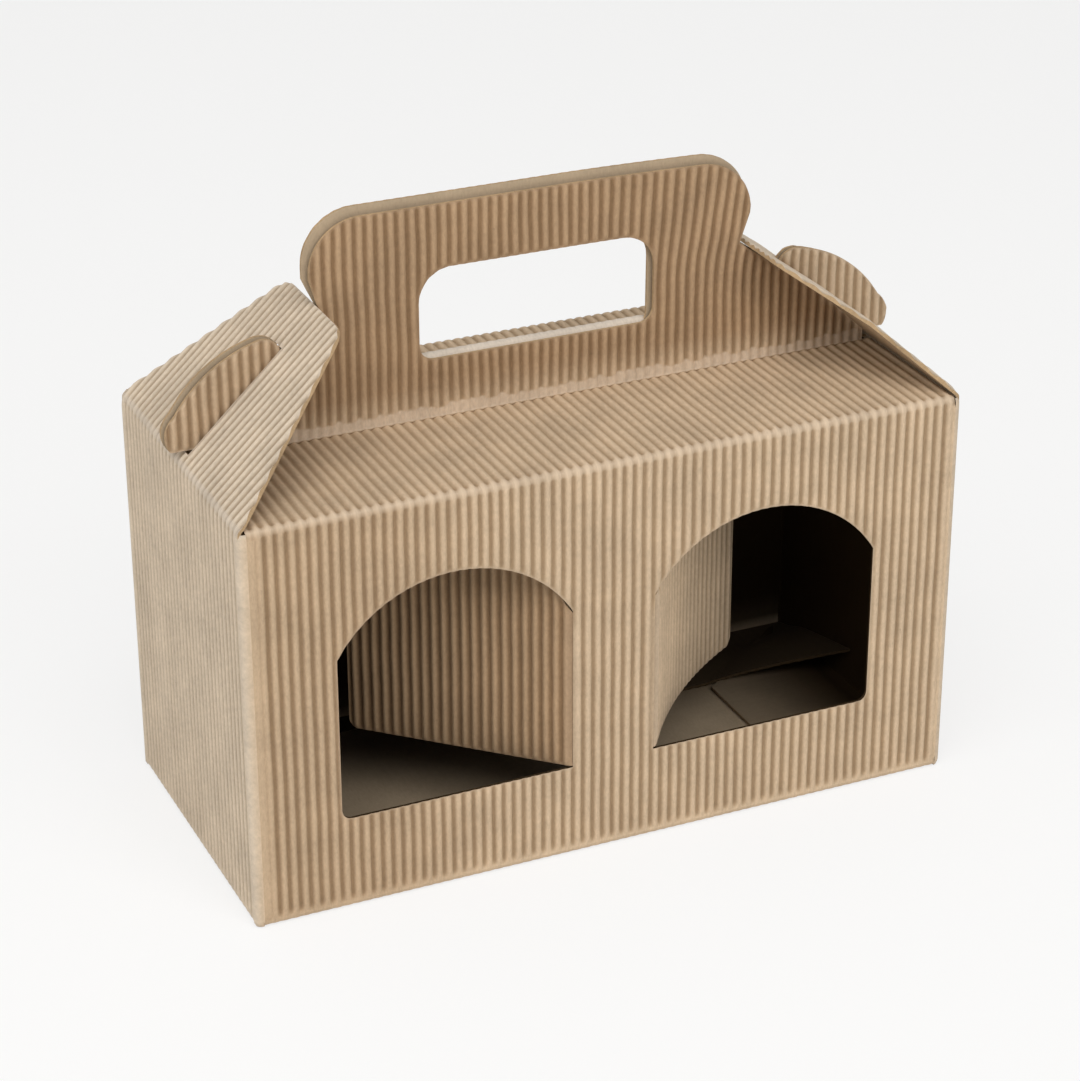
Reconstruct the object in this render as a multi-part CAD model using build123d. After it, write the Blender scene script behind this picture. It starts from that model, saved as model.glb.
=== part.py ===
from build123d import *

import math
import os
from math import cos, radians, sin, tan

# Carry carton for two jars, folded from one die-cut sheet of open-flute kraft board:
# a smooth liner with ridges glued to its outer face. Millimetres, +Z up, origin at the
# middle of the base, +X along the length, the windows look towards -Y.
os.makedirs("parts", exist_ok=True)

# Board
liner = 0.4  # smooth inner sheet
flute_height = 0.9  # ridges on the outer face
pitch = 2.6  # one ridge to the next
crest_share = 0.4  # flat top of a ridge, as a share of the pitch
crease = 2.0  # how far a fold crushes the ridges on each side of an outside corner

# Box
width = 185.0
depth = 86.0
height = 103.0
left_strip = 3.8  # ridge-free strip beside the left corners of the long walls
least_strip = 1.0  # narrowest ridge-free strip beside any other corner
chord_turn = radians(18)  # turn of one chord of a round corner
arch_chords = 12
over = 1.0  # how far a cutter reaches past the board it cuts
floor_gap = 0.4  # between one floor flap and the next
roof_gap = 1.0  # between the roof or the floor and the side walls

# End flaps, which lean inward over the roof
flap_angle = 43.3  # above the horizontal
flap_length = 47.7  # from the fold to the tip
flap_tip = 35.2  # width at the tip before its corners are rounded
flap_inset = 0.2  # how far the flap's ends stay inside the long walls
flap_corner = 7.0
left_bridge = 12.2  # board left between the slit and the tip
right_bridge = 10.1
bend_start = 24.0  # from here on to its tip the right flap is bent down
bend_angle = 7.0
slit_root = 2.5  # start of the slit from the fold
slit_gap = 0.35  # between the slit and the lobes in it
fold_gap = 0.3  # between a moving flap and the line it turns about
fold_taper = 2.4  # length over which ridges rise from a moving fold

# Handle: two upright panels, smooth faces together
panel_gap = 1.0  # between the two smooth faces
head_height = 52.8  # above the roof, front panel
head_side = 39.0  # height of the head's widest place
head_corner = 13.0
front_shift = -1.0  # head's middle, to one side of the box's middle
rear_shift = -2.0
rear_rise = 2.1  # the rear head stands this much higher
notch_gap = 1.3  # from an end flap's tip to the bottom of the notch that holds it
notch_hook = 2.2  # how far the head overhangs its notch
under_gap = 1.2  # between the shoulders and the end flaps above them
base_gap = 3.2  # between the handle's fold and the end flaps' folds

# Side lobes, which pass through the slits of the end flaps
lobe_height = 10.3  # out of the flap
lobe_toe = 2.6  # how far the lobe's underside reaches past the flap's fold
rear_lobe_rises = (0.8, -0.5)  # how much further the rear lobes stand out, left and right

# Hand hole and the tongue cut from it
hole_width = 61.0
hole_bottom = 14.4  # above the roof
hole_top = 37.1
hole_upper_corner = 8.3
hole_lower_corner = 3.7
tongue_angle = 12.0  # rise of its bent-over part towards the rear
tongue_depth = 5.8
tongue_drop = 15.0
tongue_gap = 0.35  # between the tongue and the board round it

# Windows and the flaps cut from them
pier = 21.4  # board left between the windows
window_width = 59.2
window_bottom = 23.9
window_spring = 66.0  # where the straight sides end
window_top = 82.8
window_corner = 2.5
window_gap = 0.4  # between a window and its flap
left_angle = 44.0  # how far the left flap is pushed in
root_angle = 57.0  # the right flap is curled, from this turn at its fold
tip_angle = 31.0

# Floor flaps
front_short = 9.0  # from the front flap's left half to the rear wall
front_cut = 10.0  # how much shorter its right half is
side_reach = 35.0  # side flaps, from the edge of the front flap
rear_reach = 29.0  # right half of the rear flap, from the rear wall
lifted = 8.0  # rise of that half's free corner

board = liner + flute_height
flank = pitch * (1 - crest_share) / 2
inner_x = width / 2 - board
inner_y = depth / 2 - board
roof_half = inner_x - roof_gap
slope = radians(flap_angle)
fold_x = inner_x + liner / 2
fold_z = height - (board - liner / 2) * (1 - sin(slope)) / cos(slope)
left_shape = (flap_length - left_bridge, 0)  # an end flap's slit end and its bend
right_shape = (flap_length - right_bridge, radians(bend_angle))
handle_front = -panel_gap / 2 - board
window_fold_y = -inner_y - liner / 2
start_x = left_strip - width / 2
count_x = int((width - left_strip - least_strip) / pitch)
count_y = int((depth - 2 * least_strip) / pitch)
start_y = -count_y * pitch / 2


def thickness(along):
    """Board thickness across the ridges: flat crests, straight flanks and sharp valleys."""
    place = along % pitch
    return liner + flute_height * min(1, place / flank, (pitch - place) / flank)


def ridge_line(low, high, start):
    """(distance, thickness) at every corner of the ridges between two distances."""
    places = [low, high]
    for i in range(math.floor((low - start) / pitch), math.ceil((high - start) / pitch)):
        for step in (0, flank, pitch - flank):
            place = start + i * pitch + step
            if low + 0.01 < place < high - 0.01:
                places.append(place)
    return [(place, thickness(place - start)) for place in sorted(places)]


def wall_line(half, start, count):
    """Ridge line of a wall with a plain strip at each end, short of its crushed corners."""
    end = start + count * pitch
    first = [(crease - half, board), (start - flank, board)]
    last = [(end + flank, board), (half - crease, board)]
    first = [p for p in first if p[0] < start - flank / 2]
    last = [p for p in last if p[0] > end + flank / 2]
    line = ridge_line(max(start, crease - half), min(end, half - crease), start)
    return first + line + last


def sheet(line, length, plane):
    """Board extruded along the ridges: x of the plane runs across them, y is outward."""
    outline = [(line[0][0], 0), *line, (line[-1][0], 0)]
    return extrude(plane * make_face(Polyline(*outline, close=True)), length, dir=plane.z_dir)


def bar_x(points, low, high):
    """Prism along X from (y, z) points."""
    face = make_face(Polyline(*points, close=True))
    return extrude(Plane.YZ.offset(low) * face, high - low)


def bar_y(points, half):
    """Prism along Y from (x, z) points, as long to the front as to the rear."""
    return extrude(Plane.XZ * make_face(Polyline(*points, close=True)), half, both=True)


def plate(points, low):
    """One flat thickness of board over (x, y) points."""
    return extrude(Pos(0, 0, low) * make_face(Polyline(*points, close=True)), board)


def upright(points):
    """Cutter that gives standing board an outline drawn on the XZ plane."""
    return extrude(Plane.XZ * make_face(Polyline(*points, close=True)), depth, both=True)


def chords(edge, count):
    """Points along a curve, so that its cut meets every ridge in a straight line."""
    return [edge @ (i / count) for i in range(count + 1)]


def rounded(corners):
    """Outline from (x, y, radius) corners, each round one turned in equal chords."""
    points = []
    places = [Vector(x, y) for x, y, r in corners]
    for i, (x, y, radius) in enumerate(corners):
        if not radius:
            points.append(places[i])
            continue
        a = (places[i - 1] - places[i]).normalized()
        b = (places[(i + 1) % len(places)] - places[i]).normalized()
        half = radians(a.get_angle(b)) / 2
        centre = places[i] + (a + b).normalized() * (radius / sin(half))
        start = places[i] + a * (radius / tan(half)) - centre
        end = places[i] + b * (radius / tan(half)) - centre
        sweep = math.pi - 2 * half
        count = math.ceil(sweep / chord_turn)
        for k in range(count + 1):
            part = sweep * k / count
            points.append(centre + (start * sin(sweep - part) + end * sin(part)) / sin(sweep))
    return points


def fold_cut(points, sign, top):
    """Prism along a long wall's fold, from distances inside its front and its top or base."""
    section = [(sign * (depth / 2 - u), height - v if top else v) for u, v in points]
    return bar_x(section, -width, width)


def mitre(sheet_side, sign, top):
    """Waste on one side of the 45 degree joint between a wall and the sheet folded from it."""
    far = (-over, board + over) if sheet_side else (board + over, -over)
    return fold_cut([(board + over, board + over), (-over, -over), far], sign, top)


def crush(sign):
    """Wedge that flattens the ridges on a long wall's upper corner."""
    return fold_cut([(-over, -over), (crease + over, -over), (-over, crease + over)], sign, True)


def walls():
    """Four walls as one ridge line round the corners, with smooth inner faces."""
    long_line = wall_line(width / 2, start_x, count_x)
    short_line = wall_line(depth / 2, start_y, count_y)
    front = [(x, -inner_y - t) for x, t in long_line]
    right = [(inner_x + t, y) for y, t in short_line]
    rear = [(x, inner_y + t) for x, t in reversed(long_line)]
    left = [(-inner_x - t, y) for y, t in reversed(short_line)]
    section = make_face(Polyline(*front, *right, *rear, *left, close=True))
    return extrude(section - Rectangle(2 * inner_x, 2 * inner_y), height)


def side_fold(sign):
    """Cut above a side wall, down to the crushed board where its end flap turns."""
    outside = inner_x + liner
    points = [
        (inner_x, fold_z),
        (outside, fold_z),
        (outside, fold_z - 2 * fold_gap),
        (outside + flute_height, fold_z - fold_taper),
        (outside + board, fold_z - fold_taper),
        (outside + board, height + over),
        (inner_x, height + over),
    ]
    return bar_y([(sign * x, z) for x, z in points], depth)


def window_outline(gap):
    """Left window, or its flap when a gap is given."""
    inner = -pier / 2
    outer = inner - window_width + gap
    low, high, spring = window_bottom + gap, window_top - gap, window_spring - gap
    base = rounded([(inner, spring, 0), (inner, low, 0), (outer, low, window_corner), (outer, spring, 0)])
    arch = ThreePointArc((outer, spring), (inner - window_width / 2, high), (inner, spring))
    return base[:-1] + chords(arch, arch_chords)[:-1]


def windows():
    """Cutter for both windows, which reaches through the front wall only."""
    face = make_face(Polyline(*window_outline(0), close=True))
    cut = extrude(Plane.XZ.offset(depth / 2 + over) * face, -board - 2 * over)
    return cut + mirror(cut, about=Plane.YZ)


def on_flap(bend, along, out):
    """(x, z) of a point of the right end flap, from its fold and out of its smooth sheet."""
    past = max(0, along - bend_start)
    root = along - past
    turn = slope - bend if past else slope
    x = fold_x - root * cos(slope) - past * cos(turn) + out * sin(turn)
    return Vector(x, fold_z + root * sin(slope) + past * sin(turn) + out * cos(turn))


def lobe(slit_end, bend, rise):
    """Edge of the right lobe, round from its toe below the flap's fold to its heel.

    Its three arcs pass through shares of the slit's length and of the lobe's height.
    """
    tall = lobe_height + rise
    toe = Vector(fold_x + lobe_toe, fold_z + slit_root + slit_gap)
    belly = on_flap(bend, 0.2 * slit_end, 0.9 * tall)
    heel_start = on_flap(bend, 0.9 * slit_end, 0.64 * tall)
    heel = on_flap(bend, slit_end - 1.1 * slit_gap, flute_height)
    lower = ThreePointArc(toe, on_flap(bend, 0.04 * slit_end, 0.65 * tall), belly)
    upper = ThreePointArc(belly, on_flap(bend, 0.55 * slit_end, tall), heel_start)
    end = ThreePointArc(heel_start, on_flap(bend, 0.975 * slit_end, 0.42 * tall), heel)
    return chords(lower, 4)[:-1] + chords(upper, 6)[:-1] + chords(end, 3)


def half_handle(shape, rise, lobe_rise, shift):
    """Right edge of a handle panel, from its fold up to its head's corner."""
    low, top = height - board, height + head_height + rise
    base = fold_x - base_gap
    edge = lobe(*shape, lobe_rise)
    notch = on_flap(shape[1], flap_length + notch_gap, -liner / 2 - under_gap)
    notch_x = notch.X + math.copysign(front_shift, shift)
    side = notch.X + notch_hook + shift
    neck = [(base, low, 0), (base, height, 0), (base + crease, edge[0].Y, 0)]
    fall = tan(slope - shape[1])
    shoulder = [(x, notch.Y + (notch.X - x) * fall, 0) for x in (edge[-1].X - slit_gap, notch_x)]
    head = [(side, height + head_side, 0), (side, top, head_corner)]
    return neck + [(p.X, p.Y, 0) for p in edge] + shoulder + head


def hand_hole(low, high, shift):
    """Rounded hole in a handle panel, with its larger corners above."""
    left, right = shift - hole_width / 2, shift + hole_width / 2
    lower = [(left, low, hole_lower_corner), (right, low, hole_lower_corner)]
    return rounded(lower + [(right, high, hole_upper_corner), (left, high, hole_upper_corner)])


def handle_panel(rise, lobe_rises, shift, hole_low):
    """Handle panel with its smooth face towards +Y."""
    top = height + head_height + rise
    place = (0, -panel_gap / 2, top)
    plane = Plane(origin=place, x_dir=(1, 0, 0), z_dir=(0, 0, -1))
    reach = width / 2 + lobe_toe + 2 * pitch
    blank = sheet(ridge_line(-reach, reach, start_x), top - height + board, plane)
    left = [(-x, y, r) for x, y, r in half_handle(left_shape, rise, lobe_rises[0], -shift)]
    outline = rounded(half_handle(right_shape, rise, lobe_rises[1], shift) + left[::-1])
    hole = hand_hole(hole_low, height + hole_top + rise, shift)
    return (blank & upright(outline)) - upright(hole)


def roof_panel():
    """Front half of the roof, from the wall to the handle's fold."""
    place = (0, -panel_gap / 2, height - board)
    plane = Plane(origin=place, x_dir=(1, 0, 0), z_dir=(0, -1, 0))
    line = ridge_line(-roof_half, roof_half, start_x)
    return sheet(line, depth / 2, plane) - mitre(True, -1, True)


def tongue():
    """Board of the hand hole, turned back over the rear sill and hanging behind it."""
    half = hole_width / 2 - tongue_gap
    left, right = front_shift - half, front_shift + half
    line = ridge_line(left, right, start_x)
    tilt = radians(tongue_angle)
    back = (0, -cos(tilt), -sin(tilt))
    far_y = handle_front + tongue_depth * cos(tilt)
    far_z = height + hole_bottom + tongue_depth * sin(tilt)
    smooth = (0, far_y + board * sin(tilt), far_z - board * cos(tilt))
    strip = sheet(line, tongue_depth, Plane(origin=smooth, x_dir=(1, 0, 0), z_dir=back))
    foot = far_z - tongue_drop
    hang = Plane(origin=(0, far_y - board, foot), x_dir=(1, 0, 0), z_dir=(0, 0, 1))
    corner = hole_upper_corner - tongue_gap
    ends = [(left, far_z, 0), (left, foot, corner), (right, foot, corner), (right, far_z, 0)]
    drop = sheet(line, tongue_drop, hang) & upright(rounded(ends))
    reach = crease / 2
    end = (far_y + over, far_z - reach - over)
    points = [(far_y - reach - over, far_z + over), (far_y + over, far_z + over), end]
    return strip + drop - bar_x(points, -width, width)


def floor_flaps():
    """Outer layer of the floor: the front flap and the rear one, butted in a step."""
    line = ridge_line(-roof_half, roof_half, start_x)
    left_end = depth / 2 - front_short
    right_end = left_end - front_cut
    along = Plane(origin=(0, -depth / 2, board), x_dir=(1, 0, 0), z_dir=(0, 1, 0))
    blank = sheet(line, depth, along)
    step = [
        (-width, left_end),
        (-floor_gap / 2, left_end),
        (-floor_gap / 2, right_end),
        (width, right_end),
        (width, right_end + floor_gap),
        (floor_gap / 2, right_end + floor_gap),
        (floor_gap / 2, left_end + floor_gap),
        (-width, left_end + floor_gap),
    ]
    cut = extrude(Pos(0, 0, -over) * make_face(Polyline(*step, close=True)), board + 2 * over)
    return blank - cut - mitre(True, -1, False) - mitre(True, 1, False)


def floor_laps():
    """Upper layer: the rear flap lapped over the front one, and both side flaps."""
    side_x = roof_half - side_reach
    edge = depth / 2 - rear_reach
    end = depth / 2 - front_short
    hinge_x, hinge_y = roof_half, inner_y
    fall = (hinge_x - side_x) / (hinge_y - edge)
    lap = [(floor_gap, edge), (side_x, edge), (hinge_x, hinge_y), (floor_gap, hinge_y)]
    side = [
        (side_x + floor_gap, -inner_y + floor_gap),
        (fold_x, -inner_y + floor_gap),
        (fold_x, hinge_y - floor_gap),
        (hinge_x, hinge_y - floor_gap),
        (side_x + floor_gap, edge - floor_gap / fall),
    ]
    far = [
        (-fold_x, end + floor_gap),
        (-side_x, end + floor_gap),
        (-side_x, inner_y - floor_gap),
        (-fold_x, inner_y - floor_gap),
    ]
    root = (side_x, edge, board)
    free = (hinge_x, edge, board + lifted)
    hinge = (hinge_x, hinge_y, board)
    corner = extrude(make_face(Polyline(root, free, hinge, close=True)), board, dir=(0, 0, 1))
    return plate(lap, board) + plate(side, board) + plate(far, board) + corner


def carton():
    """The folded sheet without its four moving flaps."""
    body = walls()
    for sign in (-1, 1):
        body -= side_fold(sign)
        body -= mitre(False, sign, True)
        body -= mitre(False, sign, False)
    roof = roof_panel()
    body += [roof, mirror(roof, about=Plane.XZ), floor_flaps()]
    for sign in (-1, 1):
        body -= crush(sign)
    body -= windows()
    body += floor_laps()
    sill = height + hole_bottom
    front = handle_panel(0, (0, 0), front_shift, sill)
    rear = handle_panel(rear_rise, rear_lobe_rises, rear_shift, sill - board - tongue_gap)
    body += [front, mirror(rear, about=Plane.XZ)]
    body += tongue()
    return body


def flap_blank(half, bend):
    """Uncut board of the left end flap, in two lengths that meet in a mitre if it is bent."""
    line = ridge_line(-half, half, start_y)
    directions = [Vector(cos(turn), 0, sin(turn)) for turn in (slope, slope - bend)]
    middle = Vector(-fold_x, 0, fold_z) + directions[0] * bend_start
    lengths = []
    for along in directions:
        smooth = middle + Vector(along.Z, 0, -along.X) * (liner / 2)
        plane = Plane(origin=smooth - along * bend_start, x_dir=(0, 1, 0), z_dir=along)
        lengths.append(sheet(line, flap_length + bend_start, plane))
    joint = Plane(origin=middle, z_dir=directions[0] + directions[1])
    return split(lengths[0], joint, Keep.BOTTOM) + split(lengths[1], joint, Keep.TOP)


def end_flap(slit_end, bend):
    """Left end flap, with its slit and the crushed board beside its fold."""
    along = Vector(cos(slope), 0, sin(slope))
    out = Vector(-sin(slope), 0, cos(slope))
    fold = Vector(-fold_x, 0, fold_z)
    half, tip = depth / 2 - flap_inset, flap_tip / 2
    root, far = fold_gap, flap_length
    ends = [(-half, root, 0), (half, root, 0), (tip, far, flap_corner), (-tip, far, flap_corner)]
    across = panel_gap / 2 + board + slit_gap
    slit = [(-across, slit_root), (across, slit_root), (across, slit_end), (-across, slit_end)]
    flat = Plane(origin=fold, x_dir=(0, 1, 0), z_dir=out * -1)
    face = make_face(Polyline(*rounded(ends), close=True)) - make_face(Polyline(*slit, close=True))
    flap = flap_blank(half, bend) & extrude(flat * face, 3 * board, both=True)
    side = Plane(origin=fold + out * (liner / 2), x_dir=along, z_dir=(0, -1, 0))
    crush = [(-root, 0), (2 * root, 0), (fold_taper, flute_height), (fold_taper, board), (-root, board)]
    return flap - extrude(side * make_face(Polyline(*crush, close=True)), depth, both=True)


def curl(along, out, first, last, length):
    """Place of a point on a flap whose turn changes evenly from its fold to its tip."""
    change = (last - first) / length
    turn = first + change * along
    if first == last:
        x, y = -along * cos(turn), along * sin(turn)
    else:
        x, y = (sin(first) - sin(turn)) / change, (cos(first) - cos(turn)) / change
    return Vector(x - out * sin(turn), y - out * cos(turn))


def window_flap(first_angle, last_angle):
    """Left window's flap, pushed in about its fold and curled if its two turns differ."""
    length = window_width - window_gap
    first, last = radians(first_angle), radians(last_angle)
    root = fold_gap
    fold = Vector(-pier / 2, window_fold_y)
    begin = start_x + pitch * math.floor((fold.X - fold_taper - start_x) / pitch)
    ridges = [(fold.X - x, t) for x, t in reversed(ridge_line(fold.X - length, begin, start_x))]
    outer = [(root, liner), *ridges]
    inner = [(length, 0), (root, 0)]
    if first != last:
        inner[1:1] = [(u, 0) for u, t in reversed(ridges[6:-3:6])]
    points = [fold + curl(u, t - liner / 2, first, last, length) for u, t in outer + inner]
    body = extrude(make_face(Polyline(*points, close=True)), window_top)
    chord = curl(length, 0, first, last, length)
    swing = Pos(fold.X, fold.Y) * Rot(0, 0, -Vector(-1, 0).get_angle(chord)) * Pos(-fold.X, 0)
    return body & (swing * upright(window_outline(window_gap)))


nodes = {
    "carton": carton(),
    "left_end_flap": end_flap(*left_shape),
    "right_end_flap": mirror(end_flap(*right_shape), about=Plane.YZ),
    "left_window_flap": window_flap(left_angle, left_angle),
    "right_window_flap": mirror(window_flap(root_angle, tip_angle), about=Plane.YZ),
}
for name, solid in nodes.items():
    solid.label = name
    export_step(solid, f"parts/{name}.step")
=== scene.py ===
import bpy
import numpy as np
from bpy.props import FloatProperty, FloatVectorProperty, PointerProperty
from bpy.types import Operator, Panel, PropertyGroup
from mathutils import Matrix, Vector


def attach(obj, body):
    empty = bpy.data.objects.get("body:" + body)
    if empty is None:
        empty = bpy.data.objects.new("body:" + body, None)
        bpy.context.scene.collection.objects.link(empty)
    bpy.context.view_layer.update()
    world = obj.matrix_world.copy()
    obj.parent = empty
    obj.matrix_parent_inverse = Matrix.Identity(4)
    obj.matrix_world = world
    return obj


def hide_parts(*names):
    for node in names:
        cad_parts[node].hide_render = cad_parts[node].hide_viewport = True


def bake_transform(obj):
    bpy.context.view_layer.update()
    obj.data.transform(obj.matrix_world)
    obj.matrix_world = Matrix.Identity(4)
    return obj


bl_info = {
    "name": "Jar Carton Looks",
    "version": (1, 0, 0),
    "blender": (4, 5, 0),
    "location": "View3D > Sidebar > Carton",
    "description": "Open-flute kraft board surfaces for a folded two-jar carry carton",
    "category": "Object",
}

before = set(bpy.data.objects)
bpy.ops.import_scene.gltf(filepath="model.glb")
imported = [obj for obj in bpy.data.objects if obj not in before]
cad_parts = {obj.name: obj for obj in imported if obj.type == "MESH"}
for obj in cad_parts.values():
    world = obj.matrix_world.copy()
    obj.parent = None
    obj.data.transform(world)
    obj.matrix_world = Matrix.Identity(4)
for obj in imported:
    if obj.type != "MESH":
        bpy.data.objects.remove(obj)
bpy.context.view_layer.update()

# Sizes of the carton in millimetres, in the frame's own axes.
PITCH = 2.6
LINER = 0.4
FLUTE = 0.9
BOARD = LINER + FLUTE
WIDTH, DEPTH, HEIGHT = 185.0, 86.0, 103.0
INNER_X = WIDTH / 2 - BOARD
INNER_Y = DEPTH / 2 - BOARD
FIRST_X = -88.7  # valley beside the ridge-free strip
LAST_X = FIRST_X + 69 * PITCH
FIRST_Y = -16 * PITCH
LEFT_END, RIGHT_END = -90.2, LAST_X  # ends of the strips that run over the roof
HANDLE_Y = -0.5  # smooth face of the front handle panel

SLOPE = np.radians(43.3)  # of the end flaps, above the horizontal
FOLD_X = INNER_X + LINER / 2
FOLD_Z = HEIGHT - (BOARD - LINER / 2) * (1 - np.sin(SLOPE)) / np.cos(SLOPE)
FLAP_LENGTH, FLAP_TIP, FLAP_HALF, FLAP_CORNER = 47.7, 17.6, 42.8, 7.0
FLAP_SLANT = 1.88  # distance from the fold over which an end flap's slanted side comes in by 1 mm
SLIT_ROOT, SLIT_HALF, SLIT_GAP = 2.5, 2.15, 0.35
SHAPES = {-1: (35.5, 0.0), 1: (37.6, np.radians(7.0))}  # an end flap's slit end and its bend, by side
BEND_START, BEND_R = 24.0, 14.0
HINGE = 1.6  # half the length of a strip of board that bends between a flap and its wall

PIER = 10.7
WINDOW_OUT = 69.9
WINDOW_LOW, WINDOW_SPRING, WINDOW_TOP, WINDOW_CORNER = 23.9, 66.0, 82.8, 2.5
WINDOW_FOLD = -INNER_Y - LINER / 2
FLAP_GAP = 0.4  # between a window and the top and bottom of its flap
WINDOW_LENGTH = WINDOW_OUT - PIER - 1.5  # a window flap's, from its fold to its tip
WINDOW_TURNS = {-1: (44, 44), 1: (57, 31)}  # degrees a window flap turns in at its fold and its tip, by side

FLOOR_END = 86.8  # right end of the front floor flap, short of the side wall's fold
FRONT_FREE = (34.0, 24.0)  # places in Y of the front floor flap's free edge, left and right half
REAR_FREE = (34.4, 16.2)  # the same for the rear floor flap
SEAM_X, SLANT_X, SLANT_Y = 55.2, 34.8, 14.2  # start of the rear flap's slanting edge, its run and its rise
LEFT_REACH, RIGHT_REACH = 36.0, 35.6  # of the side floor flaps, from the wall's fold
FLAP_START = 34.3  # the left floor flap's edge, beyond the rear flap's
SLANT_START, SLANT_RUN, SLANT_RISE = 13.68, 27.62, 34.4  # slanted edge of the right floor flap

HOLE_HALF, HOLE_LOWER_R, HOLE_UPPER_R = 30.5, 3.7, 8.3
SILL, HOLE_TOP = HEIGHT + 14.4, HEIGHT + 37.1
HEAD_SIDE, HEAD_R, HOOK = HEIGHT + 39, 13.0, 2.2  # widest place, corners and overhang of the handle's head
NOTCH_GAP = 1.3  # from an end flap's tip to the bottom of the notch that holds it
NECK = 88.2
LOBE_HEIGHT, LOBE_TOE = 10.05, 2.35
TONGUE_TILT, TONGUE_DEPTH, TONGUE_DROP = np.radians(12.0), 5.8, 15.0
TONGUE_ROOT = 1.2  # how far below the sill the tongue's board starts
# Shift of a handle panel's head, its hand hole's low and high edge, its top, how much further its lobes
# stand out on the left and right, and how far its shoulders stay under the end flaps.
FRONT_HANDLE = (-1.0, (SILL, HOLE_TOP), HEIGHT + 52.8, (0.0, 0.0), 0.55)
REAR_HANDLE = (-2.0, (SILL - BOARD - 0.35, HEIGHT + 39.2), HEIGHT + 54.9, (0.8, -0.5), 0.3)
LEAN, LEAN_START = 4.0, 16.0  # forward lean of the handle's right upper corner, and the height it starts at
RIM = 1.3  # width of the crushed board beside a cut

# Camera fitted to the box's corners in the photograph: its angles, its focal length and the picture's
# width in pixels, and its distance in metres.
PHOTO_AZIMUTH, PHOTO_ELEVATION, PHOTO_ROLL = np.radians([-24.149, 26.125, -0.187])
PHOTO_FOCAL, PHOTO_WIDTH, PHOTO_AWAY = 3136, 1081, 0.7803
PHOTO_SHIFT = (-0.001 * 0.185, 0.058 * 0.185)  # metres to the right and up, from the middle of the box


def linear(code):
    """Linear colour from an sRGB hex value."""
    c = np.array([int(code[i : i + 2], 16) for i in (1, 3, 5)]) / 255
    return tuple(np.where(c <= 0.04045, c / 12.92, ((c + 0.055) / 1.055) ** 2.4))


def paint(name, description, default):
    """Colour property: an sRGB hex value, or three linear shares that tint another colour."""
    value = linear(default) if isinstance(default, str) else default
    return FloatVectorProperty(name=name, description=description, subtype="COLOR", default=value)


def watts(name, description, default):
    """Power property of a lamp."""
    return FloatProperty(name=name, description=description, default=default, min=0, subtype="POWER")


class KraftSettings(PropertyGroup):
    # Crest and valley: paler tops and darker hollows of the flutes are painted light and shade that follow
    # the ridges' height
    crest: paint("Crest", "Paper on the ridges' tops", "#CCB497")
    valley: paint("Valley", "Paper between the ridges", "#A0876A")
    pressed: paint("Pressed", "Paper that a fold has crushed and rubbed", "#D3BFA8")
    # painted shade: dark colour in the fold at the handle panel's foot
    crease_shade: paint("Crease", "Bottom of the handle's sharp fold", "#5A4128")
    # painted shade: darker, browner tint where the painted shade value is below 0, chiefly on the handle
    # panels
    shade_tint: paint("Handle shade", "Tint of the handle's darker paper", (0.7, 0.62, 0.54))
    # painted shade: the left window flap darker towards its tip and top
    deep_shade_tint: paint("Window flap shade", "Tint of the left window flap's browner end", (0.58, 0.5, 0.42))
    # painted light: paler, bluer tint of the side walls, end flaps and tongue
    pale: paint("Side shade", "Tint of the side walls' greyer paper", (1.02, 1.12, 1.27))
    smooth: paint("Smooth side", "Inner liner", "#B09C82")
    # Inside: painted shade, the dark colour the liner and cut edges take within the carton
    inside: paint("Inside", "Inner liner within the carton", "#33240F")
    cut: paint("Cut edge", "Raw edge of the board", "#AB906E")
    fibre_mm: FloatProperty(
        name="Fibre size", description="Spacing of the paper's flecks, in millimetres", default=0.55, min=0.1
    )
    waver_mm: FloatProperty(
        name="Ridge waver", description="How far ridges stray, in millimetres", default=0.1, min=0, max=0.4
    )


class StageSettings(PropertyGroup):
    floor: paint("Floor", "Colour of the floor and backdrop", "#F2F1EE")
    key_w: watts("Key lamp", "Power of the large lamp", 10.6)
    fill_w: watts("Fill lamp", "Power of the weaker lamp", 3.6)
    front_w: watts("Front lamp", "Power of the low lamp", 4.2)
    sky: FloatProperty(name="Sky", description="Strength of the even light", default=0.38, min=0)


def smooth_step(x):
    """0 below 0, 1 above 1, and an even S between."""
    x = np.clip(x, 0, 1)
    return x * x * (3 - 2 * x)


def fall_back(radius, past):
    """How far a round corner falls back from its straight edge, at a distance past the arc's start."""
    return radius - np.sqrt(np.clip(radius**2 - past**2, 0, None))


def near(x, centre, reach):
    """Bell of height 1 about a centre."""
    return np.exp(-(((x - centre) / reach) ** 2))


def ridges(along, first):
    """Raised cosine with a wide crest: 0 in a valley, as at the first distance, and 1 on a crest."""
    return (0.5 - 0.5 * np.cos(2 * np.pi * (along - first) / PITCH)) ** 0.75


def waver(along, across, seed):
    """Slow sideways stray of the ridges: a sum of a few sines of both distances, between -1 and 1."""
    rng = np.random.default_rng(seed)
    total = np.zeros(np.broadcast(along, across).shape)
    for size in (38.0, 21.0, 11.0, 6.5):
        a, b = rng.uniform(0.5, 1.5, 2) * 2 * np.pi / size
        p, q = rng.uniform(0, 2 * np.pi, 2)
        total += np.sin(a * along + p + 1.7 * np.sin(b * across + q)) * size / 76
    return total


def ridge_strength(along, first, seed):
    """Height of each ridge as a share of the full one: a random value per ridge, joined smoothly."""
    rng = np.random.default_rng(seed)
    values = rng.uniform(0.86, 1.0, 400)
    place = (along - first) / PITCH + 100
    whole = np.floor(place).astype(int)
    return values[whole] + (values[whole + 1] - values[whole]) * smooth_step(place - whole)


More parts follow.
